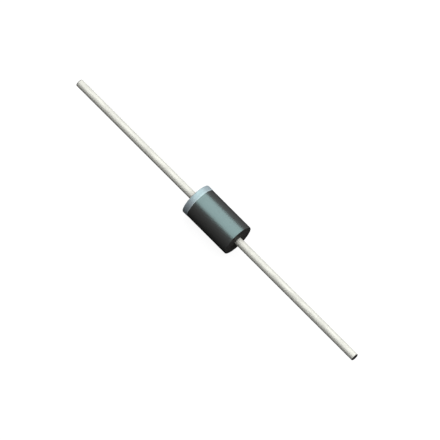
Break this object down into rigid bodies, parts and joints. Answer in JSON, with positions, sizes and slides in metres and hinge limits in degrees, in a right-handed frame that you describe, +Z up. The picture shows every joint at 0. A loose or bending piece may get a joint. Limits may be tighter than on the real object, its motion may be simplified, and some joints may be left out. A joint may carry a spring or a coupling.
{
  "type": "axial rectifier diode",
  "caption": "Axial rectifier diode: a black moulded epoxy cylinder with a pale printed ring at its cathode end and a straight tinned wire lead on each end face, soldered into a circuit.",
  "frame": {"origin": "middle of the moulded case, on the lead axis", "axes": "+X along the leads, from the banded cathode end to the anode end; +Z up; the part is round about X, so Y and Z are alike"},
  "size_m": [0.06, 0.0054, 0.0054],
  "materials": {
    "black_epoxy": "black mineral-filled moulding epoxy with a fine spark-eroded skin, half matte",
    "band_ink": "pale blue-grey marking ink, a thin cured film that follows the epoxy's skin",
    "tinned_wire": "matte tin plating on drawn copper wire, faint draw lines",
    "silicon": "lapped silicon with an etched edge",
    "die_solder": "reflowed soft solder",
    "silicone": "translucent white silicone rubber"
  },
  "bodies": {
    "root": {"moulded_case": "black_epoxy", "cathode_band": "band_ink", "cathode_lead": "tinned_wire", "anode_lead": "tinned_wire", "silicon_die": "silicon", "cathode_solder": "die_solder", "anode_solder": "die_solder", "junction_coating": "silicone"}
  },
  "joints": []
}
